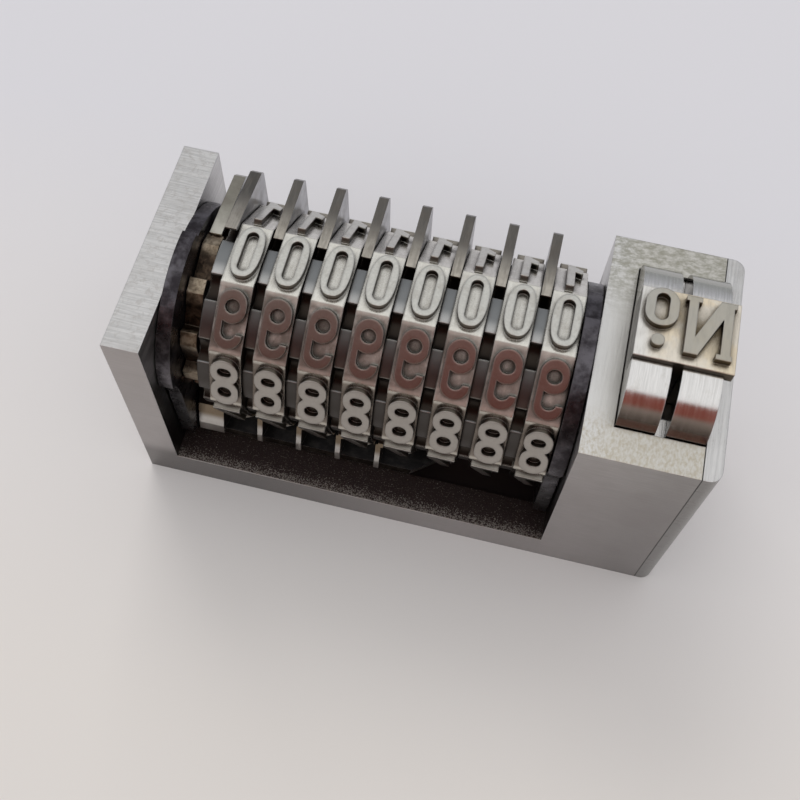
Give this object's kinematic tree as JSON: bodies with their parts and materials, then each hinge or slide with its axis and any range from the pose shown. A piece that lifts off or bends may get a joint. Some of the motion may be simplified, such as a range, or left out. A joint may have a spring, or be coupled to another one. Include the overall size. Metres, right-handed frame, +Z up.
{
  "type": "numbering machine",
  "caption": "Typographic numbering machine: a low steel case with mirrored digit wheels on one shaft, advanced by a feed comb when the sprung number-sign plunger is pressed.",
  "frame": {"origin": "centre of the footprint on the resting face of the base", "axes": "+X along the wheel shaft towards the plunger, -Y towards the front, +Z up to the printing faces"},
  "size_m": [0.046, 0.0194, 0.0259],
  "materials": {
    "case_steel": "brushed satin steel",
    "cover_steel": "brushed satin steel",
    "screw_steel": "plain turned steel",
    "shaft_steel": "ground steel",
    "black_steel": "black oxide, worn at the edges",
    "comb_steel": "plain steel, slightly browned",
    "ratchet_steel": "brown oxidised steel, pitted",
    "wheel_steel": "nickel-plated steel, satin",
    "pawl_steel": "ground steel, satin",
    "plunger_steel": "polished steel",
    "sign_steel": "satin nickel",
    "spring_steel": "spring wire"
  },
  "bodies": {
    "base": {"case": "case_steel", "end_cover": "cover_steel", "cover_screws": "screw_steel", "wheel_shaft": "shaft_steel", "pawl_rod": "shaft_steel", "plunger_spring_front": "spring_steel", "plunger_spring_rear": "spring_steel"},
    "plunger": {"plunger": "plunger_steel", "number_sign": "sign_steel"},
    "swing": {"swing_arm_left": "black_steel", "swing_arm_right": "black_steel", "swing_bar": "shaft_steel", "drive_stud": "shaft_steel"},
    "comb": {"feed_comb": "comb_steel"},
    "unit_wheel": {"digit_wheel_1": "wheel_steel", "drive_ratchet": "ratchet_steel", "spacer_disc": "black_steel"},
    "wheel_2": {"digit_wheel_2": "wheel_steel"},
    "wheel_3": {"digit_wheel_3": "wheel_steel"},
    "wheel_4": {"digit_wheel_4": "wheel_steel"},
    "wheel_5": {"digit_wheel_5": "wheel_steel"},
    "wheel_6": {"digit_wheel_6": "wheel_steel"},
    "wheel_7": {"digit_wheel_7": "wheel_steel"},
    "wheel_8": {"digit_wheel_8": "wheel_steel"},
    "pawl_drive": {"retaining_pawl_drive": "pawl_steel"},
    "pawl_1": {"retaining_pawl_1": "pawl_steel"},
    "pawl_2": {"retaining_pawl_2": "pawl_steel"},
    "pawl_3": {"retaining_pawl_3": "pawl_steel"},
    "pawl_4": {"retaining_pawl_4": "pawl_steel"},
    "pawl_5": {"retaining_pawl_5": "pawl_steel"},
    "pawl_6": {"retaining_pawl_6": "pawl_steel"},
    "pawl_7": {"retaining_pawl_7": "pawl_steel"},
    "pawl_8": {"retaining_pawl_8": "pawl_steel"}
  },
  "joints": [
    {"name": "plunger_press", "type": "slide", "parent": "base", "child": "plunger", "axis": [0, 0, 1], "range_m": [-0.00258, 0], "stiffness_N_per_m": 900, "springref_m": 0.006, "deforming": ["plunger_spring_front", "plunger_spring_rear"]},
    {"name": "swing_turn", "type": "hinge", "parent": "base", "child": "swing", "pos_m": [0, 0, 0.01445], "axis": [1, 0, 0], "range_deg": [0, 40.05]},
    {"name": "comb_lift", "type": "hinge", "parent": "swing", "child": "comb", "pos_m": [0, -0.00098, 0.00329], "axis": [1, 0, 0], "range_deg": [0, 5], "stiffness_Nm_per_rad": 0.004, "springref_deg": -8.59},
    {"name": "unit_wheel_spin", "type": "hinge", "parent": "base", "child": "unit_wheel", "pos_m": [-0.01498, 0, 0.01445], "axis": [1, 0, 0], "continuous": true},
    {"name": "wheel_2_spin", "type": "hinge", "parent": "base", "child": "wheel_2", "pos_m": [-0.01148, 0, 0.01445], "axis": [1, 0, 0], "continuous": true},
    {"name": "wheel_3_spin", "type": "hinge", "parent": "base", "child": "wheel_3", "pos_m": [-0.00797, 0, 0.01445], "axis": [1, 0, 0], "continuous": true},
    {"name": "wheel_4_spin", "type": "hinge", "parent": "base", "child": "wheel_4", "pos_m": [-0.00447, 0, 0.01445], "axis": [1, 0, 0], "continuous": true},
    {"name": "wheel_5_spin", "type": "hinge", "parent": "base", "child": "wheel_5", "pos_m": [-0.00097, 0, 0.01445], "axis": [1, 0, 0], "continuous": true},
    {"name": "wheel_6_spin", "type": "hinge", "parent": "base", "child": "wheel_6", "pos_m": [0.00252, 0, 0.01445], "axis": [1, 0, 0], "continuous": true},
    {"name": "wheel_7_spin", "type": "hinge", "parent": "base", "child": "wheel_7", "pos_m": [0.00602, 0, 0.01445], "axis": [1, 0, 0], "continuous": true},
    {"name": "wheel_8_spin", "type": "hinge", "parent": "base", "child": "wheel_8", "pos_m": [0.00953, 0, 0.01445], "axis": [1, 0, 0], "continuous": true},
    {"name": "pawl_drive_lift", "type": "hinge", "parent": "base", "child": "pawl_drive", "pos_m": [-0.018, 0.0083, 0.00935], "axis": [-1, 0, 0], "range_deg": [0, 3], "stiffness_Nm_per_rad": 0.004, "springref_deg": -5.73},
    {"name": "pawl_1_lift", "type": "hinge", "parent": "base", "child": "pawl_1", "pos_m": [-0.0163, 0.0083, 0.00935], "axis": [-1, 0, 0], "range_deg": [0, 3], "stiffness_Nm_per_rad": 0.004, "springref_deg": -5.73},
    {"name": "pawl_2_lift", "type": "hinge", "parent": "base", "child": "pawl_2", "pos_m": [-0.0128, 0.0083, 0.00935], "axis": [-1, 0, 0], "range_deg": [0, 3], "stiffness_Nm_per_rad": 0.004, "springref_deg": -5.73},
    {"name": "pawl_3_lift", "type": "hinge", "parent": "base", "child": "pawl_3", "pos_m": [-0.0093, 0.0083, 0.00935], "axis": [-1, 0, 0], "range_deg": [0, 3], "stiffness_Nm_per_rad": 0.004, "springref_deg": -5.73},
    {"name": "pawl_4_lift", "type": "hinge", "parent": "base", "child": "pawl_4", "pos_m": [-0.0058, 0.0083, 0.00935], "axis": [-1, 0, 0], "range_deg": [0, 3], "stiffness_Nm_per_rad": 0.004, "springref_deg": -5.73},
    {"name": "pawl_5_lift", "type": "hinge", "parent": "base", "child": "pawl_5", "pos_m": [-0.0023, 0.0083, 0.00935], "axis": [-1, 0, 0], "range_deg": [0, 3], "stiffness_Nm_per_rad": 0.004, "springref_deg": -5.73},
    {"name": "pawl_6_lift", "type": "hinge", "parent": "base", "child": "pawl_6", "pos_m": [0.0012, 0.0083, 0.00935], "axis": [-1, 0, 0], "range_deg": [0, 3], "stiffness_Nm_per_rad": 0.004, "springref_deg": -5.73},
    {"name": "pawl_7_lift", "type": "hinge", "parent": "base", "child": "pawl_7", "pos_m": [0.0047, 0.0083, 0.00935], "axis": [-1, 0, 0], "range_deg": [0, 3], "stiffness_Nm_per_rad": 0.004, "springref_deg": -5.73},
    {"name": "pawl_8_lift", "type": "hinge", "parent": "base", "child": "pawl_8", "pos_m": [0.0082, 0.0083, 0.00935], "axis": [-1, 0, 0], "range_deg": [0, 3], "stiffness_Nm_per_rad": 0.004, "springref_deg": -5.73}
  ],
  "couplings": [
    {"joint": "swing_turn", "follows": "plunger_press", "rad_per_m": -270.72}
  ]
}
